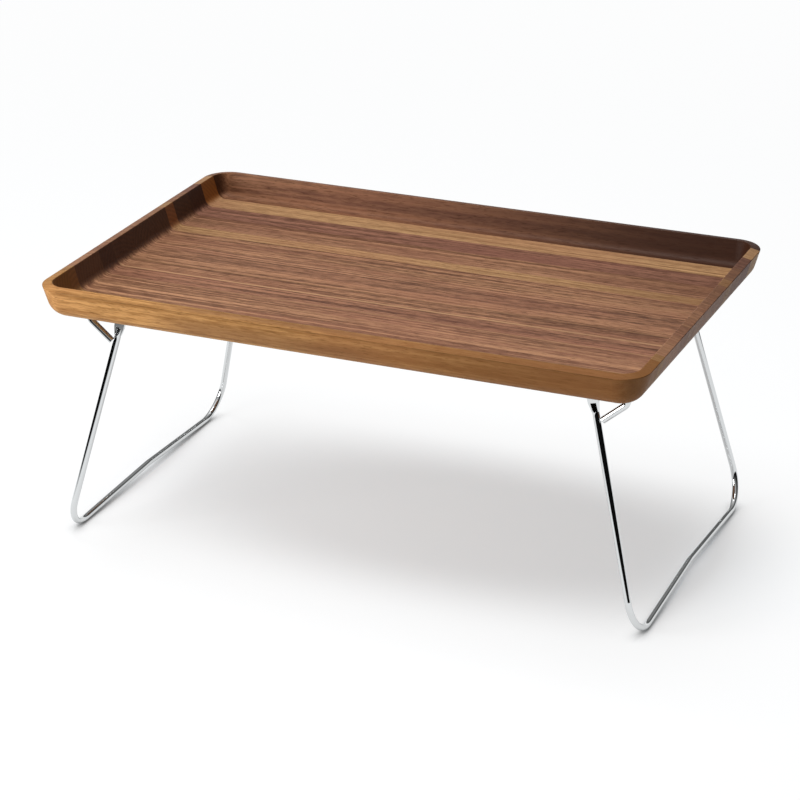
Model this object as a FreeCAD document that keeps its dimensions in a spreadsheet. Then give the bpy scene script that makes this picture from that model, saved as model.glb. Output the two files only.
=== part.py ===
import FreeCAD, Part
import math
import os
import Sketcher
from FreeCAD import Placement, Rotation, Vector

# Bed tray table: a dished walnut tray on two folding wire legs.
# X runs along the tray, Y from front to back, Z up. The origin is on the ground
# under the middle of the tray. Lengths are in millimetres, angles in degrees.

DRIVING_SIZES = {
    # tray
    "tray_length": 560.0,
    "tray_width": 356.0,
    "stand_height": 250.0,       # rim above the ground
    "tray_height": 30.0,
    "dish_depth": 22.0,
    "rim_width": 9.0,
    "rim_land": 1.0,             # level strip inside the sloping rim
    "rim_fall": 1.7,             # the rim slopes down outward by this much
    "wall_flare_angle": 16.0,
    "corner_radius": 26.0,
    "underside_round": 18.0,
    "floor_round": 8.0,
    "rim_round": 0.6,
    # hinge battens under the tray
    "batten_length": 249.0,
    "batten_width": 22.0,
    "batten_height": 14.0,
    "batten_chamfer": 2.0,
    "pivot_inset": 60.0,         # tray end to the leg pivot
    "pivot_drop": 8.0,           # underside to the leg pivot
    # folding wire legs
    "wire_diameter": 6.0,
    "leg_splay_angle": 14.2,     # lean of each leg frame, outward
    "leg_taper_angle": 8.0,      # each side wire spreads from the eye to the floor
    "foot_bend_radius": 30.0,
    "bar_arch": 5.0,             # middle of the floor bar above its ends
    "bar_kink_radius": 40.0,
    "neck_bend_radius": 20.0,
    "eye_thickness": 3.0,
    "eye_width": 9.4,
    "eye_length": 10.0,          # full width of the flattened end, below the pivot
    "eye_taper_length": 8.0,
    "eye_play": 0.15,            # on each side of the flattened end
    # pivot screws and washers
    "pivot_diameter": 4.0,
    "pivot_clearance": 0.1,      # on the diameter of the eye
    "pivot_bite": 22.0,          # screw length inside the batten
    "pivot_head_diameter": 8.0,
    "pivot_head_height": 2.4,
    "washer_diameter": 9.0,
    "washer_thickness": 1.0,
    # batten screws
    "batten_screw_diameter": 4.0,
    "batten_screw_head_diameter": 8.0,
    "batten_screw_bite": 5.5,    # screw length inside the tray floor
    "batten_screw_margin": 8.0,  # between a pivot screw's tip and the nearest batten screw
    # stop wires
    "stop_inset": 28.0,          # tray end to the stop wire
    "stop_arm_angle": 40.0,      # arms point inboard and down
    "stop_bend_radius": 7.0,
    "stop_straight": 1.0,        # between the two bends of an arm
    "stop_clearance": 0.3,       # arm tip to leg wire
    "run_clearance": 0.1,        # stop wire to the underside
    # clips that hold the stop wires
    "clip_width": 10.0,
    "clip_thickness": 1.2,
    "clip_clearance": 0.05,
    "clip_foot_length": 10.0,
    "clip_spacing": 150.0,
    "clip_screw_diameter": 3.0,
    "clip_screw_clearance": 0.3,
    "clip_screw_bite": 6.0,
    "clip_screw_head_diameter": 6.0,
    "clip_screw_head_height": 1.8,
    # pan heads, as shares of the head
    "crown_width_share": 0.72,
    "rim_height_share": 0.45,
    # cross recess in every screw head, as shares of the head
    "recess_span_share": 0.6,
    "recess_width_share": 0.16,
    "recess_depth_share": 0.55,
}

# Boards that the tray is glued from, front to back, in the widths that fill the tray.
STAVE_WIDTHS = [48.0, 12.0, 44.0, 24.0, 38.0, 30.0, 36.0, 16.0, 31.0, 27.0, 26.0, 24.0]

BATTEN_SCREW_COUNT = 4
SIDES = {"left": -1, "right": 1}
ENDS = {"front": -1, "back": 1}
CUT_MARGIN = 5.0                 # how far a cutting block stands past what it cuts
FILLET_LIMIT = 0.9               # largest share of a corner that a rolled edge may take
SEAM_SHARE = 0.05                # share of the corner left inside the wall's section
SWEEP_TOLERANCE = 0.01           # share by which a swept volume may miss length times section
NEAR_ZERO = 1e-4
X_AXIS = Vector(1, 0, 0)
Y_AXIS = Vector(0, 1, 0)


class Size:
    """A number together with the sheet formula that gives it."""

    def __init__(self, value, formula):
        self.value = float(value)
        self.formula = formula

    def combined(self, other, sign, value):
        return Size(value, "(%s %s %s)" % (self.formula, sign, as_size(other).formula))

    def __add__(self, other):
        return self.combined(other, "+", self.value + as_size(other).value)

    def __sub__(self, other):
        return self.combined(other, "-", self.value - as_size(other).value)

    def __mul__(self, other):
        return self.combined(other, "*", self.value * as_size(other).value)

    def __truediv__(self, other):
        return self.combined(other, "/", self.value / as_size(other).value)

    def __neg__(self):
        return self * -1


def as_size(number):
    if isinstance(number, Size):
        return number
    return Size(number, "(%r)" % float(number))


def sine(angle):
    return Size(math.sin(math.radians(angle.value)), "sin(%s * 1 deg)" % angle.formula)


def cosine(angle):
    return Size(math.cos(math.radians(angle.value)), "cos(%s * 1 deg)" % angle.formula)


def tangent(angle):
    return Size(math.tan(math.radians(angle.value)), "tan(%s * 1 deg)" % angle.formula)


def smaller(first, second):
    value = min(first.value, second.value)
    return Size(value, "min(%s; %s)" % (first.formula, second.formula))


# ---------------------------------------------------------------- document and sheet

doc = FreeCAD.newDocument("bed_tray_table")
sheet = doc.addObject("Spreadsheet::Sheet", "sizes")


def fill_sheet():
    """Write every driving size into the sheet and return them by name."""
    rows = dict(DRIVING_SIZES)
    for number, width in enumerate(STAVE_WIDTHS, start=1):
        rows["stave_width_%02d" % number] = width
    sizes = {}
    for row, (alias, value) in enumerate(rows.items(), start=1):
        sheet.set("A%d" % row, alias)
        sheet.set("B%d" % row, "%r" % value)
        sheet.setAlias("B%d" % row, alias)
        sizes[alias] = Size(value, "sizes.%s" % alias)
    doc.recompute()
    return sizes


size = fill_sheet()

# Places worked out from the driving sizes.
half_length = size["tray_length"] / 2
half_width = size["tray_width"] / 2
rim_top = size["stand_height"]
crease_height = rim_top - size["rim_fall"]
underside = rim_top - size["tray_height"]
floor_top = rim_top - size["dish_depth"]
flare_slope = tangent(size["wall_flare_angle"])

wire_radius = size["wire_diameter"] / 2
batten_half = size["batten_length"] / 2
pivot_x = half_length - size["pivot_inset"]
pivot_height = underside - size["pivot_drop"]
eye_inner_y = batten_half + size["washer_thickness"] + size["eye_play"]
eye_middle_y = eye_inner_y + size["eye_thickness"] / 2
head_seat_y = eye_inner_y + size["eye_thickness"] + size["eye_play"]
leg_length = (pivot_height - wire_radius) / cosine(size["leg_splay_angle"])

run_x = half_length - size["stop_inset"]
run_height = underside - wire_radius - size["run_clearance"]


# ---------------------------------------------------------------- drawing helpers

def bind(target, path, length):
    target.setExpression(path, length.formula)


def place(target, x, y, z, rotation=Rotation()):
    """Set a sub-part's placement, its position bound to the sheet."""
    x, y, z = as_size(x), as_size(y), as_size(z)
    target.Placement = Placement(Vector(x.value, y.value, z.value), rotation)
    bind(target, ".Placement.Base.x", x)
    bind(target, ".Placement.Base.y", y)
    bind(target, ".Placement.Base.z", z)


def new_body(name):
    body = doc.addObject("PartDesign::Body", name)
    body.Label = name
    return body


def origin_plane(body, role):
    return next(item for item in body.Origin.OriginFeatures if item.Role == role)


def new_sketch(body, name, role, offset=None):
    sketch = body.newObject("Sketcher::SketchObject", name)
    sketch.AttachmentSupport = [(origin_plane(body, role), "")]
    sketch.MapMode = "FlatFace"
    if offset is not None:
        bind(sketch, ".AttachmentOffset.Base.z", offset)
    return sketch


def dimension(sketch, constraint, length):
    number = sketch.addConstraint(constraint)
    bind(sketch, "Constraints[%d]" % number, length)


def fix_point(sketch, geometry, end, x, y):
    """Dimension one point of a sketch from the sketch's origin."""
    for kind, axis, length in (("DistanceX", -2, x), ("DistanceY", -1, y)):
        if abs(length.value) < NEAR_ZERO:
            sketch.addConstraint(Sketcher.Constraint("PointOnObject", geometry, end, axis))
        elif length.value > 0:
            rule = Sketcher.Constraint(kind, -1, 1, geometry, end, length.value)
            dimension(sketch, rule, length)
        else:
            rule = Sketcher.Constraint(kind, geometry, end, -1, 1, -length.value)
            dimension(sketch, rule, -length)


def outline(sketch, corners, half_circles=()):
    """Close a line through corners; the side after a corner named in half_circles,
    whose two ends lie on the sketch's X axis, is a half circle."""
    corners = [(as_size(x), as_size(y)) for x, y in corners]
    points = [Vector(x.value, y.value, 0) for x, y in corners]
    count, base = len(points), sketch.GeometryCount
    ends = []
    for index, start in enumerate(points):
        end = points[(index + 1) % count]
        ends.append((1, 2))
        if index not in half_circles:
            sketch.addGeometry(Part.LineSegment(start, end))
            continue
        upper = half_circles[index] == "up"
        whole = Part.Circle(Vector(0, 0, 0), Vector(0, 0, 1), abs(end.x - start.x) / 2)
        turn = (0, math.pi) if upper else (math.pi, 2 * math.pi)
        sketch.addGeometry(Part.ArcOfCircle(whole, *turn))
        sketch.addConstraint(Sketcher.Constraint("PointOnObject", base + index, 3, -1))
        if (end.x < start.x) != upper:
            ends[index] = (2, 1)
    for index, (x, y) in enumerate(corners):
        after = (index + 1) % count
        rule = Sketcher.Constraint("Coincident", base + index, ends[index][1],
                                   base + after, ends[after][0])
        sketch.addConstraint(rule)
        fix_point(sketch, base + index, ends[index][0], x, y)


def rounded_outline(sketch, corners):
    """Close a line through corners given as x, y and the radius of a round, or 0."""
    points = [Vector(x.value, y.value, 0) for x, y, radius in corners]
    count = len(points)
    trimmed = []
    for index, (x, y, radius) in enumerate(corners):
        before = (points[index - 1] - points[index]).normalize()
        after = (points[(index + 1) % count] - points[index]).normalize()
        reach = radius.value / math.tan(before.getAngle(after) / 2)
        trimmed.append((points[index] + before * reach, points[index] + after * reach))
    for index in range(count):
        sketch.addGeometry(Part.LineSegment(trimmed[index][1], trimmed[(index + 1) % count][0]))
    for index, (x, y, radius) in enumerate(corners):
        before = (index - 1) % count
        if radius.value == 0:
            sketch.addConstraint(Sketcher.Constraint("Coincident", before, 2, index, 1))
            fix_point(sketch, index, 1, x, y)
            continue
        corner = sketch.addGeometry(Part.Point(points[index]), True)
        for line in (before, index):
            sketch.addConstraint(Sketcher.Constraint("PointOnObject", corner, 1, line))
        fix_point(sketch, corner, 1, x, y)
        start, end = trimmed[index]
        inward = (start + end) / 2 - points[index]
        half_angle = (start - points[index]).getAngle(end - points[index]) / 2
        center = points[index] + inward.normalize() * (radius.value / math.sin(half_angle))
        leftward = (points[index] - start).cross(end - points[index]).z > 0
        low, high = (start, end) if leftward else (end, start)
        low_angle = math.atan2(low.y - center.y, low.x - center.x)
        high_angle = math.atan2(high.y - center.y, high.x - center.x)
        if high_angle < low_angle:
            high_angle += 2 * math.pi
        whole = Part.Circle(center, Vector(0, 0, 1), radius.value)
        arc = sketch.addGeometry(Part.ArcOfCircle(whole, low_angle, high_angle))
        first, last = (1, 2) if leftward else (2, 1)
        sketch.addConstraint(Sketcher.Constraint("Tangent", before, 2, arc, first))
        sketch.addConstraint(Sketcher.Constraint("Tangent", arc, last, index, 1))
        dimension(sketch, Sketcher.Constraint("Radius", arc, radius.value), radius)


def circle(sketch, x, y, radius):
    center = Vector(as_size(x).value, as_size(y).value, 0)
    sketch.addGeometry(Part.Circle(center, Vector(0, 0, 1), radius.value))
    fix_point(sketch, 0, 3, as_size(x), as_size(y))
    dimension(sketch, Sketcher.Constraint("Radius", 0, radius.value), radius)


def box(name, x, y, z, length, width, height):
    """A block with its low corner at x, y, z."""
    block = doc.addObject("Part::Box", name)
    bind(block, "Length", length)
    bind(block, "Width", width)
    bind(block, "Height", height)
    place(block, x, y, z)
    return block


def compound(name, members):
    group = doc.addObject("Part::Compound", name)
    group.Links = members
    return group


def cut(name, base, tool):
    result = doc.addObject("Part::Cut", name)
    result.Base = base
    result.Tool = tool
    result.Label = name
    return result


# ---------------------------------------------------------------- tray

def tray_plan(body, name, height, inset):
    """A rounded rectangle: the tray's plan at one height, moved in from the crease."""
    sketch = new_sketch(body, name, "XY_Plane", height)
    x, y, radius = half_length - inset, half_width - inset, size["corner_radius"] - inset
    arc_x, arc_y = x.value - radius.value, y.value - radius.value
    quarter = math.pi / 2
    for number, (side_x, side_y) in enumerate(((1, 1), (-1, 1), (-1, -1), (1, -1))):
        center = Vector(side_x * arc_x, side_y * arc_y, 0)
        corner = Part.Circle(center, Vector(0, 0, 1), radius.value)
        sketch.addGeometry(Part.ArcOfCircle(corner, number * quarter, (number + 1) * quarter))
    for start, end in (((arc_x, y.value), (-arc_x, y.value)),
                       ((-x.value, arc_y), (-x.value, -arc_y)),
                       ((-arc_x, -y.value), (arc_x, -y.value)),
                       ((x.value, -arc_y), (x.value, arc_y))):
        sketch.addGeometry(Part.LineSegment(Vector(*start, 0), Vector(*end, 0)))
    for arc in range(4):
        line = arc + 4
        sketch.addConstraint(Sketcher.Constraint("Tangent", arc, 2, line, 1))
        sketch.addConstraint(Sketcher.Constraint("Tangent", line, 2, (arc + 1) % 4, 1))
    for line, direction in ((4, "Horizontal"), (5, "Vertical"), (6, "Horizontal"), (7, "Vertical")):
        sketch.addConstraint(Sketcher.Constraint(direction, line))
    for arc in (1, 2, 3):
        sketch.addConstraint(Sketcher.Constraint("Equal", 0, arc))
    sketch.addConstraint(Sketcher.Constraint("Symmetric", 0, 3, 2, 3, -1, 1))
    dimension(sketch, Sketcher.Constraint("DistanceX", 5, 1, 7, 1, 2 * x.value), x * 2)
    dimension(sketch, Sketcher.Constraint("DistanceY", 6, 1, 4, 1, 2 * y.value), y * 2)
    dimension(sketch, Sketcher.Constraint("Radius", 0, radius.value), radius)
    return sketch


def wall_section(body, floor_inset, seam_inset):
    """The tray wall, cut across: rim, inner wall, floor, underside and outer wall."""
    under_inset = (crease_height - underside) * flare_slope
    # A rolled edge must not use up the corner that it runs round.
    sine_flare, cosine_flare = sine(size["wall_flare_angle"]), cosine(size["wall_flare_angle"])
    inward_share = cosine_flare - (as_size(1) - sine_flare) * flare_slope
    under_room = (size["corner_radius"] - under_inset) / inward_share
    floor_room = (size["corner_radius"] - floor_inset) / inward_share
    under_round = smaller(size["underside_round"], under_room * FILLET_LIMIT)
    floor_round = smaller(size["floor_round"], floor_room * FILLET_LIMIT)
    none, edge = as_size(0), size["rim_round"]
    land_x = half_length - size["rim_width"] + size["rim_land"]
    section = new_sketch(body, "wall_section", "XZ_Plane")
    rounded_outline(section, [
        (half_length - seam_inset, underside, none),
        (half_length - under_inset, underside, under_round),
        (half_length, crease_height, edge),
        (land_x, rim_top, none),
        (half_length - size["rim_width"], rim_top, edge),
        (half_length - floor_inset, floor_top, floor_round),
        (half_length - seam_inset, floor_top, none),
    ])
    return section


def make_tray_form():
    """The whole dish, before it is divided into its boards: its wall runs round the
    plan of the rim, and the floor fills the middle."""
    body = new_body("tray_form")
    floor_inset = size["rim_width"] + size["dish_depth"] * flare_slope
    seam_inset = size["corner_radius"] - (size["corner_radius"] - floor_inset) * SEAM_SHARE
    wall = body.newObject("PartDesign::AdditivePipe", "wall")
    wall.Profile = wall_section(body, floor_inset, seam_inset)
    wall.Spine = (tray_plan(body, "rim_plan", crease_height, as_size(0)), [])
    doc.recompute()
    floor = body.newObject("PartDesign::Pad", "floor")
    floor.Profile = tray_plan(body, "floor_plan", underside, seam_inset)
    bind(floor, "Length", floor_top - underside)
    doc.recompute()
    return body


def make_staves(tray):
    """Boards along X, face to face, that together are the tray."""
    widths = [size["stave_width_%02d" % number] for number in range(1, len(STAVE_WIDTHS) + 1)]
    total = widths[0]
    for width in widths[1:]:
        total = total + width
    fill = size["tray_width"] / total
    front = -half_width
    staves = []
    for number, width in enumerate(widths, start=1):
        back = front + width * fill
        first, last = number == 1, number == len(widths)
        block_front = front - CUT_MARGIN if first else front
        block_back = back + CUT_MARGIN if last else back
        block = box("board_%02d" % number, -half_length - CUT_MARGIN, block_front,
                    underside - CUT_MARGIN, size["tray_length"] + 2 * CUT_MARGIN,
                    block_back - block_front, size["tray_height"] + 2 * CUT_MARGIN)
        stave = doc.addObject("Part::Common", "stave_%02d" % number)
        stave.Base = tray
        stave.Tool = block
        stave.Label = "stave_%02d" % number
        staves.append(stave)
        front = back
    return staves


# ---------------------------------------------------------------- screws and washers

def turned_body(name, half_section):
    """A body of revolution about its own Z axis, from radius and height pairs."""
    body = new_body(name)
    sketch = new_sketch(body, name + "_section", "XZ_Plane")
    outline(sketch, half_section)
    turning = body.newObject("PartDesign::Revolution", name + "_turning")
    turning.Profile = sketch
    turning.ReferenceAxis = (sketch, ["V_Axis"])
    turning.Angle = 360
    return body


def pan_head_section(shank, length, head, height):
    """Head above Z = 0, shank below it with a pointed tip."""
    crown, edge = head / 2 * size["crown_width_share"], height * size["rim_height_share"]
    return [(0, height), (crown, height), (head / 2, edge), (head / 2, 0), (shank / 2, 0),
            (shank / 2, shank - length), (0, -length)]


def countersunk_section(shank, length, head):
    """Flat head top at Z = 0, a 90 degree seat below it and a pointed tip."""
    return [(0, 0), (head / 2, 0), (shank / 2, (shank - head) / 2),
            (shank / 2, shank - length), (0, -length)]


def screw_group(name, shapes, head, head_height, head_top):
    """Screws with a cross recess in each head: shapes are (body, place, rotation)."""
    span, width = head * size["recess_span_share"], head * size["recess_width_share"]
    depth = head_height * size["recess_depth_share"]
    blanks, recesses = [], []
    for number, (blank, position, turn) in enumerate(shapes, start=1):
        place(blank, *position, turn)
        blanks.append(blank)
        for arm, (long_x, long_y) in enumerate(((span, width), (width, span)), start=1):
            corner = Vector(-long_x.value / 2, -long_y.value / 2, head_top.value - depth.value)
            slot = doc.addObject("Part::Box", "%s_recess_%d_%d" % (name, number, arm))
            bind(slot, "Length", long_x)
            bind(slot, "Width", long_y)
            bind(slot, "Height", depth + CUT_MARGIN)
            slot.Placement = blank.Placement.multiply(Placement(corner, Rotation()))
            recesses.append(slot)
    blank_group = compound(name + "_blanks", blanks)
    recess_group = compound(name + "_recesses", recesses)
    return cut(name, blank_group, recess_group), blank_group


def make_pivot_screws():
    shank, head = size["pivot_diameter"], size["pivot_head_diameter"]
    length = head_seat_y - batten_half + size["pivot_bite"]
    height = size["pivot_head_height"]
    section = pan_head_section(shank, length, head, height)
    shapes = []
    for side, sign_x in SIDES.items():
        for end, sign_y in ENDS.items():
            blank = turned_body("pivot_screw_%s_%s" % (side, end), section)
            turn = Rotation(X_AXIS, -90 * sign_y)
            shapes.append((blank, (pivot_x * sign_x, head_seat_y * sign_y, pivot_height), turn))
    return screw_group("pivot_screws", shapes, head, height, height)


def make_batten_screws():
    shank, head = size["batten_screw_diameter"], size["batten_screw_head_diameter"]
    length = size["batten_height"] + size["batten_screw_bite"]
    section = countersunk_section(shank, length, head)
    reach = batten_half - size["pivot_bite"] - size["batten_screw_margin"]
    shapes = []
    for side, sign_x in SIDES.items():
        for number in range(BATTEN_SCREW_COUNT):
            share = 2 * number / (BATTEN_SCREW_COUNT - 1) - 1
            blank = turned_body("batten_screw_%s_%d" % (side, number + 1), section)
            position = (pivot_x * sign_x, reach * share, underside - size["batten_height"])
            shapes.append((blank, position, Rotation(X_AXIS, 180)))
    return screw_group("batten_screws", shapes, head, (head - shank) / 2, as_size(0))


def make_clip_screws():
    shank, head = size["clip_screw_diameter"], size["clip_screw_head_diameter"]
    length = size["clip_thickness"] + size["clip_screw_bite"]
    height = size["clip_screw_head_height"]
    section = pan_head_section(shank, length, head, height)
    hole_x = run_x - clip_hole_offset()
    shapes = []
    for side, sign_x in SIDES.items():
        for end, sign_y in ENDS.items():
            blank = turned_body("clip_screw_%s_%s" % (side, end), section)
            y = size["clip_spacing"] / 2 * sign_y
            position = (hole_x * sign_x, y, underside - size["clip_thickness"])
            shapes.append((blank, position, Rotation(X_AXIS, 180)))
    return screw_group("clip_screws", shapes, head, height, height)


def make_washers():
    """A washer between each leg eye and the end of its batten."""
    discs, holes = [], []
    for side, sign_x in SIDES.items():
        for end, sign_y in ENDS.items():
            for kind, diameter, group in (("disc", size["washer_diameter"], discs),
                                          ("hole", size["pivot_diameter"], holes)):
                name = "washer_%s_%s_%s" % (kind, side, end)
                solid = doc.addObject("Part::Cylinder", name)
                bind(solid, "Radius", diameter / 2)
                bind(solid, "Height", size["washer_thickness"])
                turn = Rotation(X_AXIS, -90 * sign_y)
                place(solid, pivot_x * sign_x, batten_half * sign_y, pivot_height, turn)
                group.append(solid)
    return cut("pivot_washers", compound("washer_discs", discs), compound("washer_holes", holes))


# ---------------------------------------------------------------- hinge battens

def make_batten(side, screws):
    """A bar across the underside, its lower long edges bevelled, bored for its screws."""
    body = new_body("batten_blank_" + side)
    sketch = new_sketch(body, "batten_section_" + side, "XZ_Plane")
    half, height, bevel = size["batten_width"] / 2, size["batten_height"], size["batten_chamfer"]
    outline(sketch, [(-half, 0), (half, 0), (half, bevel - height), (half - bevel, -height),
                     (bevel - half, -height), (-half, bevel - height)])
    bar = body.newObject("PartDesign::Pad", "batten_bar_" + side)
    bar.Profile = sketch
    bar.SideType = "Symmetric"
    bind(bar, "Length", size["batten_length"])
    place(body, pivot_x * SIDES[side], 0, underside)
    return cut("batten_" + side, body, compound("batten_bores_" + side, screws))


# ---------------------------------------------------------------- folding legs

def leg_spine(body, name):
    """Half of a leg's centre line, in the leg's own plane: the front side wire from
    the flattened eye down to the floor bend, and the bar up to its middle."""
    start = size["eye_length"]
    neck = start + size["eye_taper_length"]
    taper, radius = size["leg_taper_angle"], size["foot_bend_radius"]
    kink, neck_radius = size["bar_kink_radius"], size["neck_bend_radius"]
    bend_depth = leg_length - radius
    middle_depth = leg_length - size["bar_arch"]
    lean = math.radians(taper.value)
    out, down = Vector(-math.sin(lean), -math.cos(lean), 0), Vector(0, -1, 0)
    side_normal = Vector(math.cos(lean), -math.sin(lean), 0)

    neck_start = Vector(-eye_middle_y.value, -neck.value, 0)
    neck_center = neck_start + Vector(-neck_radius.value, 0, 0)
    neck_end = neck_center + side_normal * neck_radius.value
    # Floor bend: its centre is one radius inside the side wire.
    inside = neck_end + side_normal * radius.value
    run = (-bend_depth.value - inside.y) / out.y
    foot_center = inside + out * run
    foot_start = neck_end + out * run
    # The bar touches the floor bend from below and the middle bend from above.
    kink_center = Vector(0, -middle_depth.value - kink.value, 0)
    across = kink_center - foot_center
    slope = math.asin((radius.value + kink.value) / across.Length) + math.atan2(across.y, across.x)
    bar_normal = Vector(math.sin(slope), -math.cos(slope), 0)
    foot_end = foot_center + bar_normal * radius.value
    kink_start = kink_center - bar_normal * kink.value
    middle = kink_center + Vector(0, kink.value, 0)

    sketch = new_sketch(body, name, "YZ_Plane")
    vertical = Vector(0, 0, 1)

    def arc(center, bend, low, high):
        return Part.ArcOfCircle(Part.Circle(center, vertical, bend.value), low, high)

    sketch.addGeometry(Part.LineSegment(Vector(neck_start.x, -start.value, 0), neck_start))
    sketch.addGeometry(arc(neck_center, neck_radius, -lean, 0))
    sketch.addGeometry(Part.LineSegment(foot_start, neck_end))
    sketch.addGeometry(arc(foot_center, radius, math.pi - lean, 1.5 * math.pi + slope))
    sketch.addGeometry(Part.LineSegment(foot_end, kink_start))
    sketch.addGeometry(arc(kink_center, kink, math.pi / 2, math.pi / 2 + slope))
    # Neighbours meet end to end and share their direction there.
    for first, first_end, second, second_end in ((0, 2, 1, 2), (1, 1, 2, 2), (2, 1, 3, 1),
                                                 (3, 2, 4, 1), (4, 2, 5, 2)):
        rule = Sketcher.Constraint("Tangent", first, first_end, second, second_end)
        sketch.addConstraint(rule)
    sketch.addConstraint(Sketcher.Constraint("Vertical", 0))
    sketch.addConstraint(Sketcher.Constraint("PointOnObject", 5, 1, -2))
    sketch.addConstraint(Sketcher.Constraint("PointOnObject", 5, 3, -2))
    fix_point(sketch, 0, 1, -eye_middle_y, -start)
    rule = Sketcher.Constraint("DistanceY", 0, 2, -1, 1, neck.value)
    dimension(sketch, rule, neck)
    dimension(sketch, Sketcher.Constraint("Radius", 1, neck_radius.value), neck_radius)
    dimension(sketch, Sketcher.Constraint("Radius", 3, radius.value), radius)
    dimension(sketch, Sketcher.Constraint("Radius", 5, kink.value), kink)
    rule = Sketcher.Constraint("DistanceY", 3, 3, -1, 1, bend_depth.value)
    dimension(sketch, rule, bend_depth)
    rule = Sketcher.Constraint("DistanceY", 5, 1, -1, 1, middle_depth.value)
    dimension(sketch, rule, middle_depth)
    number = sketch.addConstraint(Sketcher.Constraint("Angle", 2, math.pi / 2 - lean))
    sketch.setExpression("Constraints[%d]" % number, "90 deg - %s * 1 deg" % taper.formula)
    return sketch


def make_leg(side):
    """One bent wire: two side wires, a floor bar and a pressed eye at each top end.
    It is drawn hanging from the origin, which is the middle of its pivot line."""
    body = new_body("leg_" + side)
    start = -size["eye_length"]
    section = new_sketch(body, "wire_section_" + side, "XY_Plane", start)
    circle(section, 0, -eye_middle_y, wire_radius)
    wire = body.newObject("PartDesign::AdditivePipe", "bent_wire_" + side)
    wire.Profile = section
    wire.Spine = (leg_spine(body, "wire_line_" + side), [])
    doc.recompute()
    # The pressed end: full width round the pivot, narrowing to the wire.
    half, taper_end = size["eye_width"] / 2, start - size["eye_taper_length"]
    eye_outline = new_sketch(body, "eye_outline_" + side, "XZ_Plane", eye_middle_y)
    outline(eye_outline, [(half, 0), (-half, 0), (-half, start), (-wire_radius, taper_end),
                          (wire_radius, taper_end), (half, start)], {0: "up"})
    eye = body.newObject("PartDesign::Pad", "pressed_eye_" + side)
    eye.Profile = eye_outline
    eye.SideType = "Symmetric"
    bind(eye, "Length", size["eye_thickness"])
    doc.recompute()
    # The round wire is pressed down to the eye's thickness by two sloping flats.
    press = new_sketch(body, "press_flats_" + side, "YZ_Plane")
    thin, thick = size["eye_thickness"] / 2, wire_radius
    beyond, above = thick + CUT_MARGIN, start + CUT_MARGIN
    middle = -eye_middle_y
    for sign in (-1, 1):
        outline(press, [(middle + thin * sign, above), (middle + beyond * sign, above),
                        (middle + beyond * sign, taper_end), (middle + thick * sign, taper_end),
                        (middle + thin * sign, start)])
    flattening = body.newObject("PartDesign::Pocket", "flattening_" + side)
    flattening.Profile = press
    flattening.SideType = "Symmetric"
    bind(flattening, "Length", size["eye_width"] * 2)
    doc.recompute()
    if flattening.Shape.Volume >= eye.Shape.Volume:
        raise RuntimeError("the wire end was not pressed flat")
    bore = new_sketch(body, "eye_bore_" + side, "XZ_Plane", eye_middle_y)
    circle(bore, 0, 0, (size["pivot_diameter"] + size["pivot_clearance"]) / 2)
    eye_hole = body.newObject("PartDesign::Pocket", "eye_hole_" + side)
    eye_hole.Profile = bore
    eye_hole.SideType = "Symmetric"
    bind(eye_hole, "Length", size["eye_thickness"] * 2)
    doc.recompute()
    other_half = body.newObject("PartDesign::Mirrored", "back_half_" + side)
    other_half.Originals = [wire, eye, flattening, eye_hole]
    other_half.MirrorPlane = (origin_plane(body, "XZ_Plane"), [""])
    body.Tip = other_half
    lean = Rotation(Y_AXIS, -SIDES[side] * size["leg_splay_angle"].value)
    place(body, pivot_x * SIDES[side], 0, pivot_height, lean)
    return body


# ---------------------------------------------------------------- stop wires and clips

def rounded_path(points, radius):
    """Straight runs through points, joined by arcs of one radius that touch both runs."""
    edges = []
    start = points[0]
    for before, corner, after in zip(points, points[1:], points[2:]):
        back = (before - corner).normalize()
        ahead = (after - corner).normalize()
        half_inside = back.getAngle(ahead) / 2
        leg = radius / math.tan(half_inside)
        bisector = (back + ahead).normalize()
        center = corner + bisector * (radius / math.sin(half_inside))
        arc_start, arc_end = corner + back * leg, corner + ahead * leg
        edges.append(Part.LineSegment(start, arc_start).toShape())
        edges.append(Part.Arc(arc_start, center - bisector * radius, arc_end).toShape())
        start = arc_end
    edges.append(Part.LineSegment(start, points[-1]).toShape())
    return Part.Wire(edges)


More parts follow.
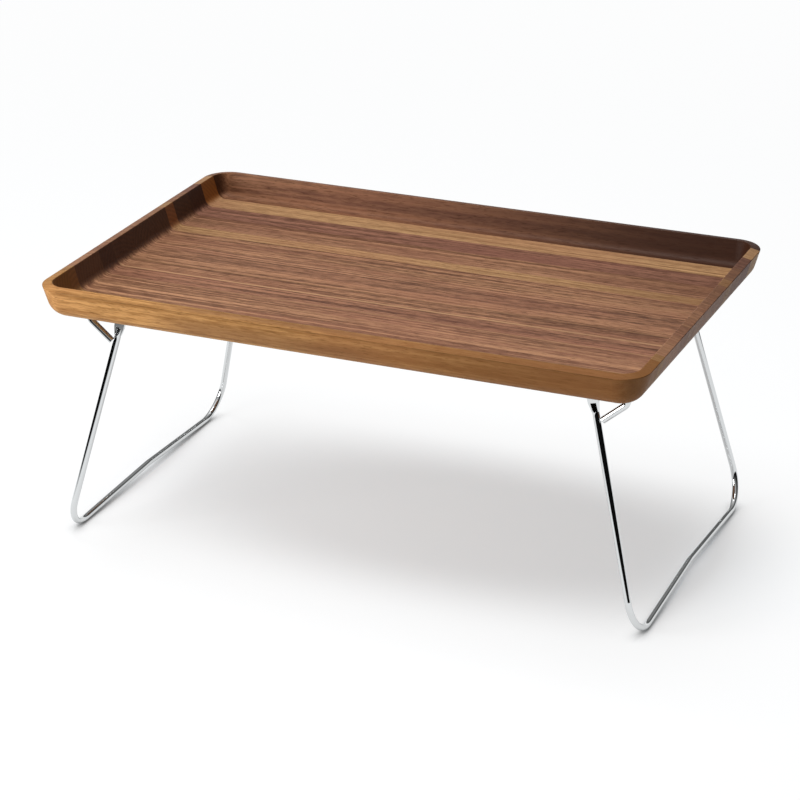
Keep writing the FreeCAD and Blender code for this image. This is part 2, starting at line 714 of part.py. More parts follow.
def make_stop_wire(side):
    """A wire across the underside whose two ends turn down and inboard, so that the
    open leg leans on their tips. It bends in space, so it is swept directly."""
    slope, splay = size["stop_arm_angle"].value, size["leg_splay_angle"].value
    radius, wire = size["stop_bend_radius"].value, wire_radius.value
    turn = math.radians(90 - slope)
    drop = radius * (1 + math.tan(turn / 2)) + size["stop_straight"].value
    elbow = Vector(run_x.value, 0, run_height.value - drop)
    pivot = Vector(pivot_x.value, 0, pivot_height.value)
    lean = math.radians(splay)
    outward = Vector(math.cos(lean), 0, math.sin(lean))
    tilt = math.radians(slope)
    arm = Vector(-math.cos(tilt), 0, -math.sin(tilt))
    # The upper rim of the square-cut tip comes nearest to the leg wire.
    reach = wire + size["stop_clearance"].value + wire * math.sin(tilt - lean)
    arm_length = ((elbow - pivot).dot(outward) - reach) / math.cos(tilt - lean)
    tip = elbow + arm * arm_length
    top = Vector(run_x.value, 0, run_height.value)
    sign = SIDES[side]
    points = []
    for end_y, order in ((-eye_middle_y.value, (tip, elbow, top)),
                         (eye_middle_y.value, (top, elbow, tip))):
        points += [Vector(sign * point.x, end_y, point.z) for point in order]
    path = rounded_path(points, radius)
    first_run = (points[1] - points[0]).normalize()
    ring = Part.Wire([Part.Circle(points[0], first_run, wire).toShape()])
    swept = path.makePipeShell([ring], True, False)
    expected = math.pi * wire ** 2 * path.Length
    if abs(swept.Volume - expected) > SWEEP_TOLERANCE * expected:
        raise RuntimeError("the stop wire was swept badly")
    feature = doc.addObject("Part::Feature", "stop_wire_" + side)
    feature.Shape = swept
    feature.Placement = Placement()
    feature.Label = "stop_wire_" + side
    return feature


def clip_hole_offset():
    """From the stop wire inboard to the clip's screw."""
    strap = wire_radius + size["clip_clearance"] + size["clip_thickness"]
    return strap + size["clip_foot_length"] / 2


def make_clip(side, end):
    """A strap that hooks under the stop wire, with one foot screwed to the tray."""
    name = "clip_%s_%s" % (side, end)
    body = new_body(name)
    inner = wire_radius + size["clip_clearance"]
    outer = inner + size["clip_thickness"]
    top = wire_radius + size["run_clearance"]
    foot_end = outer + size["clip_foot_length"]
    section = new_sketch(body, name + "_section", "XZ_Plane")
    outline(section, [(-outer, top), (-outer, 0), (outer, 0), (outer, top - size["clip_thickness"]),
                      (foot_end, top - size["clip_thickness"]), (foot_end, top), (inner, top),
                      (inner, 0), (-inner, 0), (-inner, top)], {1: "down", 7: "down"})
    strap = body.newObject("PartDesign::Pad", name + "_strap")
    strap.Profile = section
    strap.SideType = "Symmetric"
    bind(strap, "Length", size["clip_width"])
    doc.recompute()
    hole = new_sketch(body, name + "_hole", "XY_Plane", top)
    hole_diameter = size["clip_screw_diameter"] + size["clip_screw_clearance"]
    circle(hole, clip_hole_offset(), 0, hole_diameter / 2)
    drilled = body.newObject("PartDesign::Pocket", name + "_drilled")
    drilled.Profile = hole
    bind(drilled, "Length", size["clip_thickness"] * 2)
    doc.recompute()
    if drilled.Shape.Volume >= strap.Shape.Volume:
        raise RuntimeError("the clip was not drilled")
    # The foot points inboard: the right clip is turned half round.
    turn = Rotation(Vector(0, 0, 1), 180 if SIDES[side] > 0 else 0)
    y = size["clip_spacing"] / 2 * ENDS[end]
    place(body, run_x * SIDES[side], y, run_height, turn)
    return body


# ---------------------------------------------------------------- assembly and export

def build():
    pivot_screws, pivot_blanks = make_pivot_screws()
    batten_screws, batten_blanks = make_batten_screws()
    clip_screws, clip_blanks = make_clip_screws()
    nodes = [pivot_screws, batten_screws, clip_screws, make_washers()]
    bores = [pivot_blanks, batten_blanks]
    for side in SIDES:
        nodes.append(make_batten(side, bores))
        nodes.append(make_leg(side))
        nodes.append(make_stop_wire(side))
        for end in ENDS:
            nodes.append(make_clip(side, end))
    tray_bores = compound("tray_bores", [batten_blanks, clip_blanks])
    tray = cut("bored_tray", make_tray_form(), tray_bores)
    nodes += make_staves(tray)
    doc.recompute()
    return nodes


def check(nodes):
    for item in doc.Objects:
        if "Invalid" in item.State or "Error" in item.State:
            raise RuntimeError("%s: %s" % (item.Name, item.State))
    for node in nodes:
        if node.Shape.isNull() or not node.Shape.isValid() or not node.Shape.Solids:
            raise RuntimeError("%s has no valid solid" % node.Label)


def export(nodes):
    os.makedirs("parts", exist_ok=True)
    for node in nodes:
        node.Shape.exportStep("parts/%s.step" % node.Label)
        print("%-14s solids %2d  volume %10.1f" % (
            node.Label, len(node.Shape.Solids), node.Shape.Volume))


pieces = build()
check(pieces)
export(pieces)
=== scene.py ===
import math

import bpy
from mathutils import Matrix, Vector


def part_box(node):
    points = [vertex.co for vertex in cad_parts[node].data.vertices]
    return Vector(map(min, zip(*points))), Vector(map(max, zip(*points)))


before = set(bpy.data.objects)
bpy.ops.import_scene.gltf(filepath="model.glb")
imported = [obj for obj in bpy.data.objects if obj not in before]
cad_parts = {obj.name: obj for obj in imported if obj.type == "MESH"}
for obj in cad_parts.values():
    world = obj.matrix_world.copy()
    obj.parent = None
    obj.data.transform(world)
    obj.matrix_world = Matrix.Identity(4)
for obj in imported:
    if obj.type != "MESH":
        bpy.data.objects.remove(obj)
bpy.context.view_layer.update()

WHITE, BLACK = (1.0, 1.0, 1.0), (0.0, 0.0, 0.0)


# ---------------------------------------------------------------- node helpers

class Nodes:
    """The node tree of a material or of the world, with short calls for the kinds used here."""

    def __init__(self, owner):
        owner.use_nodes = True
        self.owner = owner
        self.tree = owner.node_tree

    def link(self, value, socket):
        """Connect a socket, or set a plain number, vector or colour."""
        if isinstance(value, bpy.types.NodeSocket):
            self.tree.links.new(value, socket)
        elif socket.type == "RGBA":
            socket.default_value = (*value, 1.0)
        else:
            socket.default_value = value

    def fill(self, node, inputs):
        """Link some of a node's inputs, by name or number."""
        for key, value in inputs.items():
            self.link(value, node.inputs[key])

    def add(self, kind, inputs=None, **settings):
        """A new node. Its settings come first, because they can change its inputs."""
        node = self.tree.nodes.new(kind)
        for key, value in settings.items():
            setattr(node, key, value)
        self.fill(node, inputs or {})
        return node

    def math(self, operation, *values):
        return self.add("ShaderNodeMath", dict(enumerate(values)), operation=operation).outputs[0]

    def plus(self, first, second):
        return self.math("ADD", first, second)

    def minus(self, first, second):
        return self.math("SUBTRACT", first, second)

    def times(self, first, second):
        return self.math("MULTIPLY", first, second)

    def gap(self, first, second):
        """The distance between two numbers."""
        return self.math("ABSOLUTE", self.minus(first, second))

    def weighted(self, first, *others):
        """The sum of several values, each given with its weight."""
        total = self.times(*first)
        for value, weight in others:
            total = self.plus(total, self.times(value, weight))
        return total

    def band(self, value, low, high, out_low=0.0, out_high=1.0):
        """Map low..high smoothly to out_low..out_high, held at both ends."""
        inputs = dict(enumerate((value, low, high, out_low, out_high)))
        return self.add("ShaderNodeMapRange", inputs, interpolation_type="SMOOTHSTEP").outputs[0]

    def mix(self, share, first, second, blend="MIX"):
        """Go from the first colour to the second."""
        inputs = {0: share, 6: first, 7: second}
        return self.add("ShaderNodeMix", inputs, data_type="RGBA", blend_type=blend).outputs[2]

    def place(self):
        """Where a point is, in metres."""
        return self.add("ShaderNodeTexCoord").outputs["Object"]

    def split(self, vector):
        return self.add("ShaderNodeSeparateXYZ", {0: vector}).outputs[:]

    def join(self, *values):
        return self.add("ShaderNodeCombineXYZ", dict(enumerate(values))).outputs[0]

    def scaled(self, vector, scale, offset):
        inputs = {"Vector": vector, "Scale": scale, "Location": offset}
        return self.add("ShaderNodeMapping", inputs).outputs[0]

    def length(self, vector):
        return self.add("ShaderNodeVectorMath", {0: vector}, operation="LENGTH").outputs["Value"]

    def reach(self, vector, middle, half_axes):
        """How far out a point of the floor lies, where an ellipse's edge is at 1."""
        scale = (1.0 / half_axes[0], 1.0 / half_axes[1], 1.0)
        offset = (-middle[0] / half_axes[0], -middle[1] / half_axes[1], 0.0)
        return self.length(self.scaled(vector, scale, offset))

    def noise(self, vector, scale, detail, roughness):
        inputs = {"Vector": vector, "Scale": scale, "Detail": detail, "Roughness": roughness}
        return self.add("ShaderNodeTexNoise", inputs).outputs["Fac"]

    def bump(self, height, distance, strength):
        inputs = {"Height": height, "Distance": distance, "Strength": strength}
        return self.add("ShaderNodeBump", inputs).outputs[0]

    def watchers(self):
        """1 for what the camera sees itself, and 1 for what mirrors and glass show it."""
        rays = self.add("ShaderNodeLightPath").outputs
        shown = self.math("MAXIMUM", rays["Is Glossy Ray"], rays["Is Transmission Ray"])
        return rays["Is Camera Ray"], shown


def tinted(color, *tints):
    """A colour times one or more tints, each a number or one number per channel."""
    for tint in tints:
        channels = tint if isinstance(tint, tuple) else (tint, tint, tint)
        color = tuple(level * factor for level, factor in zip(color, channels))
    return color


def halfway(first, second):
    return tuple((a + b) / 2 for a, b in zip(first, second))


def paint(node, material):
    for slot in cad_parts[node].material_slots:
        slot.material = material


# ---------------------------------------------------------------- wood

# The noises of the wood: how many waves in a metre along, across and up the board, then the
# noise's detail and roughness.
NOISES = {
    "wander": ((2.2, 2.5, 2.5), 2.0, 0.5),
    "broad": ((0.8, 48.0, 20.0), 2.0, 0.5),
    "streak": ((1.3, 240.0, 75.0), 3.0, 0.6),
    "thin": ((2.4, 440.0, 230.0), 2.0, 0.5),
    "fibre": ((62.0, 420.0, 520.0), 3.0, 0.6),
    "slow": ((3.2, 60.0, 60.0), 2.0, 0.5),
    "cast": ((5.0, 32.0, 14.0), 2.0, 0.5),
    "pores": ((105.0, 1250.0, 1250.0), 2.0, 0.5),
}
NOISE_MIDDLE = 0.5
SEED_SHIFT = (3.7, 1.3, 2.1)               # how far one seed moves a board in the noises
DRIFT, DRIFT_UPWARD = 0.014, 1.5           # how far the grain wanders, and how much more upward
# How much each noise counts in the tone, and where the tone is fully dark and fully light.
BROAD_PART, STREAK_PART, THIN_PART, FIBRE_PART, SLOW_PART = 0.14, 0.30, 0.24, 0.32, 0.08
TONE_BAND = (0.395, 0.60)
# Each of these comes in over its band, up to its share, and has its tint. The bands are of
# noise, but the tips' is in metres from the tray's middle, and the glue fades over its own,
# in metres from its line.
CAST_BAND, CAST_SHARE, CAST_TINT = (0.42, 0.68), 0.45, (1.0, 0.84, 0.96)
LINE_BAND, LINE_SHARE, LINE_TINT = (0.55, 0.68), 0.42, 1.30
PORE_BAND, PORE_SHARE, PORE_TINT = (0.57, 0.67), 0.50, 0.35
TIP_BAND, TIP_SHARE, TIP_TINT = (0.262, 0.273), 0.6, 0.80
GLUE_BAND, GLUE_SHARE, GLUE_TINT = (0.00005, 0.00025), 0.40, 0.40
# Painted shade, partly the wood's tone: the darkening towards a board's right end.
FADE_SHADE_DRIFT, FADE_SHADE_TINT = 6.0, (0.68, 0.56, 0.52)   # how the darkening follows the grain
# A single streak: its full core, how it follows the grain, its soft ends, its weak spots, and
# a place past the end of any board.
STREAK_CORE, STREAK_DRIFT, STREAK_END = 0.2, 0.2, 0.03
STREAK_WEAK = (0.25, 0.55, 0.55, 1.0)
BEYOND = 1.0
# Cut ends: how far a face has to turn to be one, and how far it takes the end colour,
# which holds painted shade inside the dish and painted light on the outer ends.
END_BAND, END_SHARE = (0.35, 0.95), 0.94
# The two tones of the rings, as tints of the board's dark one, held low partly as painted
# shade inside the dish, and the tint of outer ends, which face downward: paler and greyer,
# a painted light from the floor and its sheen.
RING_DARK, RING_LIGHT = (0.36, 0.31, 0.25), (0.47, 0.41, 0.34)
OUTER_BAND, OUTER_PAINTED_LIGHT = (-0.15, 0.15), (1.15, 1.17, 1.20)
RING_GAP, RING_DRIFT = 0.0042, 7.0         # metres, and how far the broad noise bends them
PITH_ASIDE, PITH_UP, PITH_UP_CHANGE = 0.10, 0.17, 0.03
PITH_ASIDE_TURN, PITH_UP_TURN = 2.4, 1.7   # how the seed moves the pith line
WOOD_ROUGHNESS, STREAK_ROUGHNESS, PORE_ROUGHNESS = 0.45, 0.14, 0.2
WOOD_SPECULAR = 0.15
THIN_RELIEF, PORE_RELIEF = 0.4, -0.5
RELIEF_DEPTH, RELIEF_STRENGTH = 0.00005, 0.6


class Wood(Nodes):
    """The nodes of one piece of wood, with its places and noises."""

    def __init__(self, name, seed):
        super().__init__(bpy.data.materials.new(name))
        self.shift = tinted(SEED_SHIFT, float(seed))
        self.spot = self.place()
        self.along, self.side, height = self.split(self.spot)
        # The grain wanders sideways by a few millimetres along the board.
        wander = self.minus(self.figure("wander", self.spot), NOISE_MIDDLE)
        self.drift = self.times(wander, DRIFT)
        self.across = self.plus(self.side, self.drift)
        self.upward = self.plus(height, self.times(self.drift, DRIFT_UPWARD))
        self.grain = self.join(self.along, self.across, self.upward)
        self.broad = self.figure("broad", self.grain)
        self.streak = self.figure("streak", self.grain)
        self.thin = self.figure("thin", self.grain)
        self.pores = self.band(self.figure("pores", self.grain), *PORE_BAND)

    def figure(self, kind, place):
        """One of the wood's noises at a place."""
        waves, detail, roughness = NOISES[kind]
        return self.noise(self.scaled(place, waves, self.shift), 1.0, detail, roughness)


def face_color(wood, light, dark, lines):
    """The figure: light and dark wood, a reddish cast that comes and goes along the board,
    thin lines of lighter wood, and pores, which are dashes along the grain."""
    slow = wood.minus(wood.figure("slow", wood.spot), NOISE_MIDDLE)
    fibre = wood.figure("fibre", wood.grain)
    tone = wood.weighted((wood.broad, BROAD_PART), (wood.streak, STREAK_PART),
                         (wood.thin, THIN_PART), (fibre, FIBRE_PART), (slow, SLOW_PART))
    color = wood.mix(wood.band(tone, *TONE_BAND), dark, light)
    cast = wood.band(wood.figure("cast", wood.spot), *CAST_BAND, 0.0, CAST_SHARE)
    color = wood.mix(cast, color, tinted(halfway(light, dark), CAST_TINT))
    bright = wood.band(wood.thin, *LINE_BAND, 0.0, lines)
    color = wood.mix(bright, color, tinted(light, LINE_TINT))
    return wood.mix(wood.times(wood.pores, PORE_SHARE), color, tinted(dark, PORE_TINT))


def add_streak(wood, color, middle, half_width, tint, share, first=-BEYOND, last=BEYOND):
    """One streak along the grain, between two places along the board or all along it."""
    place = wood.plus(wood.side, wood.times(wood.drift, STREAK_DRIFT))
    line = wood.band(wood.gap(place, middle), half_width * STREAK_CORE, half_width, share, 0.0)
    line = wood.times(line, wood.band(wood.streak, *STREAK_WEAK))
    for inside in (wood.minus(wood.along, first), wood.minus(last, wood.along)):
        line = wood.times(line, wood.band(inside, -STREAK_END, STREAK_END))
    return wood.mix(line, color, tint)


def add_fade_and_shade(wood, color, dark, low, high, share, depth):
    """Let a board grow darker and redder towards its right end: partly the wood's own tone and partly
    painted shade, from the light's falloff to the right and from cast shadows.
    """
    along = wood.plus(wood.along, wood.times(wood.drift, FADE_SHADE_DRIFT))
    return wood.mix(wood.band(along, low, high, 0.0, share), color, tinted(dark, FADE_SHADE_TINT, depth))


def add_ends(wood, color, dark, end_tint, seed):
    """Cut ends. Those that face upward, in the dish, are dark, with growth rings round a pith
    line outside the board; their darkness is partly end grain and partly painted shade. The
    outer ones are a little paler and greyer than the long faces, a painted light from the
    floor below and its sheen."""
    facing = wood.split(wood.add("ShaderNodeNewGeometry").outputs["Normal"])
    aside = wood.minus(wood.across, PITH_ASIDE * math.sin(PITH_ASIDE_TURN * seed))
    above = wood.minus(wood.upward, PITH_UP + PITH_UP_CHANGE * math.cos(PITH_UP_TURN * seed))
    radius = wood.length(wood.join(0.0, aside, above))
    phase = wood.weighted((radius, math.tau / RING_GAP), (wood.broad, RING_DRIFT))
    ring = wood.plus(wood.times(wood.math("SINE", phase), 0.5), 0.5)
    # Painted shade keeps the ends inside the dish dark; painted light makes the outer ends paler and
    # greyer.
    inner_shaded = wood.mix(ring, tinted(dark, RING_DARK, end_tint), tinted(dark, RING_LIGHT, end_tint))
    outer_painted_light = wood.mix(1.0, color, OUTER_PAINTED_LIGHT, "MULTIPLY")
    end = wood.mix(wood.band(facing[2], *OUTER_BAND), outer_painted_light, inner_shaded)
    cut = wood.band(wood.math("ABSOLUTE", facing[0]), *END_BAND, 0.0, END_SHARE)
    return wood.mix(cut, color, end)


def walnut(name, seed, light, dark, lines=LINE_SHARE, streaks=(), fade_and_shade=None, end_tint=WHITE,
           edges=()):
    """Oiled walnut with its grain along X, as a solid texture. The figure stands in upright
    sheets, so it shows as long streaks from above."""
    wood = Wood(name, seed)
    color = face_color(wood, light, dark, lines)
    for streak in streaks:
        color = add_streak(wood, color, *streak)
    # Towards its two ends a board shows less figure.
    tip = wood.band(wood.math("ABSOLUTE", wood.along), *TIP_BAND, 0.0, TIP_SHARE)
    color = wood.mix(tip, color, tinted(halfway(light, dark), TIP_TINT))
    # Painted shade, partly the wood's tone: darker and redder towards the right end.
    if fade_and_shade:
        color = add_fade_and_shade(wood, color, dark, *fade_and_shade)
    # Glue lines at the board's two long edges.
    for edge in edges:
        line = wood.band(wood.gap(wood.side, edge), *GLUE_BAND, GLUE_SHARE, 0.0)
        color = wood.mix(line, color, tinted(dark, GLUE_TINT))
    rough = wood.weighted((wood.streak, STREAK_ROUGHNESS), (wood.pores, PORE_ROUGHNESS))
    relief = wood.weighted((wood.thin, THIN_RELIEF), (wood.pores, PORE_RELIEF))
    wood.fill(wood.tree.nodes["Principled BSDF"], {
        "Base Color": add_ends(wood, color, dark, end_tint, seed),
        "Roughness": wood.plus(rough, WOOD_ROUGHNESS),
        "Specular IOR Level": WOOD_SPECULAR,
        "Normal": wood.bump(relief, RELIEF_DEPTH, RELIEF_STRENGTH)})
    return wood.owner


# The tray's boards, front to back. lines says how strongly the thin light lines show, which
# are quieter on the golden boards. A streak has its place across, half width, tint and
# share, and may have its first and last place along the board. fade_and_shade says where the
# darkening towards the right end starts and is complete, its share and how light it stays;
# that darkening is partly the wood's tone and partly painted shade. end_tint is for the ends
# inside the dish.
BOARDS = {
    "stave_01": {
        "light": (0.598, 0.308, 0.106), "dark": (0.310, 0.136, 0.034), "lines": 0.18,
        "streaks": [(-0.1725, 0.0050, (0.17, 0.072, 0.030), 0.55, -0.15, 0.05)],
        "fade_and_shade": (-0.10, 0.20, 0.74, 0.95)},
    "stave_02": {
        "light": (0.470, 0.252, 0.101), "dark": (0.235, 0.109, 0.036), "lines": 0.20,
        "end_tint": (1.45, 1.35, 1.4)},
    "stave_03": {
        "light": (0.520, 0.264, 0.140), "dark": (0.165, 0.068, 0.034),
        "streaks": [(-0.0905, 0.0016, (0.50, 0.27, 0.13), 0.40)]},
    "stave_04": {
        "light": (0.410, 0.194, 0.108), "dark": (0.098, 0.036, 0.018),
        "streaks": [(-0.0735, 0.0018, (0.52, 0.29, 0.14), 0.50)]},
    "stave_05": {
        "light": (0.450, 0.223, 0.118), "dark": (0.112, 0.042, 0.020),
        "streaks": [(-0.0480, 0.0020, (0.56, 0.32, 0.16), 0.60),
                    (-0.0280, 0.0014, (0.50, 0.27, 0.13), 0.45)]},
    "stave_06": {
        "light": (0.450, 0.222, 0.120), "dark": (0.115, 0.046, 0.023)},
    "stave_07": {
        "light": (0.450, 0.225, 0.118), "dark": (0.115, 0.045, 0.022),
        "streaks": [(0.0330, 0.0018, (0.50, 0.27, 0.13), 0.40)],
        "fade_and_shade": (0.10, 0.27, 0.25, 1.0)},
    "stave_08": {
        "light": (0.520, 0.294, 0.134), "dark": (0.240, 0.118, 0.048), "lines": 0.30,
        "fade_and_shade": (0.08, 0.26, 0.50, 1.0), "end_tint": (1.6, 1.2, 1.1)},
    "stave_09": {
        "light": (0.410, 0.204, 0.110), "dark": (0.102, 0.040, 0.019),
        "fade_and_shade": (0.10, 0.27, 0.30, 1.0)},
    "stave_10": {
        "light": (0.330, 0.153, 0.096), "dark": (0.082, 0.030, 0.017),
        "fade_and_shade": (0.10, 0.27, 0.30, 1.0)},
    "stave_11": {
        "light": (0.540, 0.310, 0.150), "dark": (0.280, 0.145, 0.062), "lines": 0.30,
        "end_tint": (1.7, 1.2, 0.6)},
    "stave_12": {
        "light": (0.320, 0.150, 0.075), "dark": (0.105, 0.040, 0.018), "lines": 0.25,
        "fade_and_shade": (-0.20, 0.24, 0.95, 0.55)},
}
BATTENS = {"batten_left": 21, "batten_right": 22}   # with their seeds
BATTEN_LIGHT, BATTEN_DARK = (0.30, 0.145, 0.075), (0.12, 0.050, 0.026)

for seed, (name, look) in enumerate(BOARDS.items(), start=1):
    low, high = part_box(name)
    paint(name, walnut("walnut_" + name, seed, edges=(low.y, high.y), **look))
for name, seed in BATTENS.items():
    paint(name, walnut("walnut_" + name, seed, BATTEN_LIGHT, BATTEN_DARK))


# ---------------------------------------------------------------- metal

# The noise of the plating's roughness, and the finer one of its ripples.
HAZE_DETAIL, HAZE_NOISE = 3.0, 0.6
RIPPLE_FINER, RIPPLE_DETAIL, RIPPLE_NOISE, RIPPLE_STRENGTH = 2.5, 2.0, 0.5, 0.5


def polished(name, color, roughness, spread, waves, relief):
    """Plated metal: its roughness drifts slightly, with faint ripples in the plating."""
    nodes = Nodes(bpy.data.materials.new(name))
    place = nodes.place()
    haze = nodes.noise(place, waves, HAZE_DETAIL, HAZE_NOISE)
    ripple = nodes.noise(place, waves * RIPPLE_FINER, RIPPLE_DETAIL, RIPPLE_NOISE)
    nodes.fill(nodes.tree.nodes["Principled BSDF"], {
        "Base Color": color,
        "Metallic": 1.0,
        "Roughness": nodes.plus(nodes.times(haze, spread), roughness),
        "Normal": nodes.bump(ripple, relief, RIPPLE_STRENGTH)})
    return nodes.owner


CHROME = polished("chrome_plate", (0.68, 0.695, 0.70),
                  roughness=0.035, spread=0.05, waves=90.0, relief=0.00002)
ZINC = polished("zinc_plate", (0.66, 0.67, 0.69),
                roughness=0.20, spread=0.22, waves=700.0, relief=0.00006)
SCREW = polished("screw_plate", (0.60, 0.60, 0.61),
                 roughness=0.16, spread=0.18, waves=900.0, relief=0.00005)
PLATED = {
    "leg_left": CHROME, "leg_right": CHROME, "stop_wire_left": CHROME, "stop_wire_right": CHROME,
    "clip_left_front": ZINC, "clip_left_back": ZINC, "clip_right_front": ZINC,
    "clip_right_back": ZINC, "pivot_washers": ZINC,
    "pivot_screws": SCREW, "batten_screws": SCREW, "clip_screws": SCREW,
}
for name, plating in PLATED.items():
    paint(name, plating)


# ---------------------------------------------------------------- floor

FLOOR_SIZE, FLOOR_COLOR = 30.0, (0.765, 0.80, 0.83)
# The glow under the tray, lower there as a painted shadow, away from it, and what is added far off,
# between two distances.
GLOW_UNDER, GLOW_OPEN, GLOW_FAR = 0.42, 0.85, 0.07
FAR_BAND = (0.5, 2.4)
# The ellipse under the tray, and where it passes into the open floor.
SHADE_MIDDLE, SHADE_SIZE, SHADE_BAND = (0.05, 0.01), (0.36, 0.155), (0.5, 1.3)
SHADE_PALER = 0.75   # how much of its matte part, and so of the shadow, the open floor loses
# The ellipse of floor that mirrors see, and where it ends.
SWEEP_MIDDLE, SWEEP_SIZE, SWEEP_BAND = (0.50, 0.0), (1.4, 1.0), (0.70, 1.00)
# The glow's loss beside a wire, a painted contact shadow: how near it starts, over which openness, and
# down to what.
CONTACT_REACH, CONTACT_BAND, CONTACT_LEVEL = 0.014, (0.30, 0.95), 0.10
CONTACT_SAMPLES = 8


def floor_white():
    """A matte white that glows for the camera and in mirrors, and keeps the table's shadow.
    Its glow is lower under the tray and beside the wires, a painted shadow added to the real
    one. In mirrors it ends about a metre from the table, where the studio is dark."""
    nodes = Nodes(bpy.data.materials.new("floor_white"))
    nodes.tree.nodes.remove(nodes.tree.nodes["Principled BSDF"])
    camera, shown = nodes.watchers()
    place = nodes.place()
    # Painted shadow: the glow is lower under the tray, so the shadow is full there and paler outside.
    outside = nodes.band(nodes.reach(place, SHADE_MIDDLE, SHADE_SIZE), *SHADE_BAND)
    level = nodes.plus(nodes.times(outside, GLOW_OPEN - GLOW_UNDER), GLOW_UNDER)
    level = nodes.plus(level, nodes.band(nodes.length(place), *FAR_BAND, 0.0, GLOW_FAR))
    # Painted contact shadow: close beside a wire on the floor, the glow fades.
    around = nodes.add("ShaderNodeAmbientOcclusion", {"Distance": CONTACT_REACH},
                       samples=CONTACT_SAMPLES)
    level = nodes.times(level, nodes.band(around.outputs["AO"], *CONTACT_BAND, CONTACT_LEVEL, 1.0))
    # Mirrors and glass see the same white as the camera, as far as the sweep reaches.
    sweep = nodes.band(nodes.reach(place, SWEEP_MIDDLE, SWEEP_SIZE), *SWEEP_BAND, 1.0, 0.0)
    glow = nodes.add("ShaderNodeEmission", {
        "Color": WHITE, "Strength": nodes.times(nodes.plus(camera, nodes.times(shown, sweep)), level)})
    # Where the glow gives the white, the matte part gives less.
    paler = nodes.times(outside, SHADE_PALER)
    kept = nodes.times(nodes.minus(1.0, paler), sweep)
    dark = nodes.plus(nodes.times(camera, paler), nodes.times(shown, nodes.minus(1.0, kept)))
    matte = nodes.add("ShaderNodeBsdfDiffuse", {"Color": nodes.mix(dark, FLOOR_COLOR, BLACK)})
    both = nodes.add("ShaderNodeAddShader", {0: matte.outputs[0], 1: glow.outputs[0]})
    nodes.link(both.outputs[0], nodes.tree.nodes["Material Output"].inputs["Surface"])
    return nodes.owner


def make_floor():
    bpy.ops.mesh.primitive_plane_add(size=FLOOR_SIZE, location=(0.0, 0.0, 0.0))
    floor = bpy.context.object
    floor.name = "studio_floor"
    floor.data.materials.append(floor_white())


# ---------------------------------------------------------------- light

# The plain light from the left and from the right, between two directions.
WORLD_LEFT, WORLD_RIGHT, WORLD_BAND = 0.34, 0.04, (-0.6, 0.6)
# What mirrors see: from horizon to ceiling, weaker to the right, and weaker to the back.
MIRROR_RISE = (0.06, 0.85, 0.02, 0.90)
MIRROR_RIGHT = (-0.1, 0.7, 1.0, 0.2)
MIRROR_BACK = (0.2, 0.85, 1.0, 0.4)
# Their white backdrop: how far back a direction points to meet it, and how high it reaches.
BACKDROP_BACK, BACKDROP_TOP = (0.55, 0.80), (0.20, 0.34, 1.0, 0.0)


def make_world():
    """Plain light all round, weaker from the right. Mirrors see a dark horizon under a
    brighter ceiling, with a low white backdrop behind the table."""
    world = bpy.data.worlds.new("studio")
    bpy.context.scene.world = world
    nodes = Nodes(world)
    camera, shown = nodes.watchers()
    right, back, up = nodes.split(nodes.add("ShaderNodeTexCoord").outputs["Generated"])
    soft = nodes.band(right, *WORLD_BAND, WORLD_LEFT, WORLD_RIGHT)
    mirror = nodes.times(nodes.band(up, *MIRROR_RISE), nodes.band(right, *MIRROR_RIGHT))
    mirror = nodes.times(mirror, nodes.band(back, *MIRROR_BACK))
    backdrop = nodes.times(nodes.band(back, *BACKDROP_BACK), nodes.band(up, *BACKDROP_TOP))
    mirror = nodes.math("MAXIMUM", mirror, backdrop)
    level = nodes.plus(soft, nodes.times(shown, nodes.minus(mirror, soft)))
    nodes.fill(nodes.tree.nodes["Background"], {
        "Color": WHITE, "Strength": nodes.math("MAXIMUM", level, camera)})


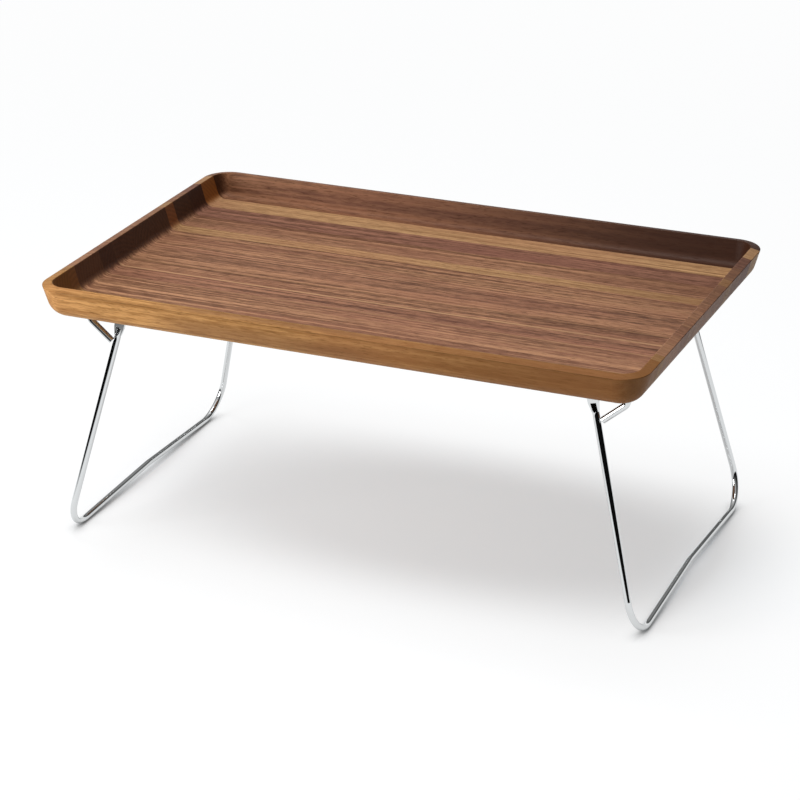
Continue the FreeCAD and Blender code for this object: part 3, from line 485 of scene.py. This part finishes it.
def softbox(name, place, aim, width, height, power):
    data = bpy.data.lights.new(name, "AREA")
    data.shape = "RECTANGLE"
    data.size, data.size_y = width, height
    data.energy = power
    lamp = bpy.data.objects.new(name, data)
    bpy.context.scene.collection.objects.link(lamp)
    lamp.location = place
    lamp.rotation_euler = (Vector(aim) - Vector(place)).to_track_quat("-Z", "Y").to_euler()


# ---------------------------------------------------------------- camera

CAMERA_TURN, CAMERA_TILT, CAMERA_ROLL = 23.48, 23.21, -0.42         # degrees
CAMERA_AWAY, CAMERA_RIGHT, CAMERA_UP = 2.5014, -0.00663, 0.10835    # metres
PICTURE_WIDTH, FOCAL_PIXELS = 800.0, 2703.1
SENSOR_WIDTH, CLIP_END = 36.0, 100.0


def make_camera():
    """A long lens from the right front, a little above the tray."""
    turn, tilt, roll = (math.radians(angle) for angle in (CAMERA_TURN, CAMERA_TILT, CAMERA_ROLL))
    back = Vector((math.sin(turn) * math.cos(tilt), -math.cos(turn) * math.cos(tilt), math.sin(tilt)))
    right = Vector((math.cos(turn), math.sin(turn), 0.0))
    up = back.cross(right)
    place = back * CAMERA_AWAY + right * CAMERA_RIGHT + up * CAMERA_UP
    side = right * math.cos(roll) + up * math.sin(roll)
    top = up * math.cos(roll) - right * math.sin(roll)
    data = bpy.data.cameras.new("camera")
    data.sensor_width = SENSOR_WIDTH
    data.lens = SENSOR_WIDTH * FOCAL_PIXELS / PICTURE_WIDTH
    data.clip_end = CLIP_END
    camera = bpy.data.objects.new("camera", data)
    bpy.context.scene.collection.objects.link(camera)
    camera.matrix_world = Matrix((
        (side.x, top.x, back.x, place.x), (side.y, top.y, back.y, place.y),
        (side.z, top.z, back.z, place.z), (0.0, 0.0, 0.0, 1.0)))
    bpy.context.scene.camera = camera


make_floor()
make_world()
softbox("top", place=(-0.08, -0.05, 1.9), aim=(0.0, 0.0, 0.2), width=1.1, height=1.1, power=20.3)
softbox("key", place=(-0.55, 0.20, 1.6), aim=(0.0, 0.0, 0.1), width=0.18, height=0.18, power=2.0)
softbox("left_front", place=(-0.86, -1.05, 0.42), aim=(-0.24, 0.0, 0.22),
        width=0.60, height=0.50, power=11.5)
make_camera()

bpy.context.scene.view_settings.view_transform = "Standard"
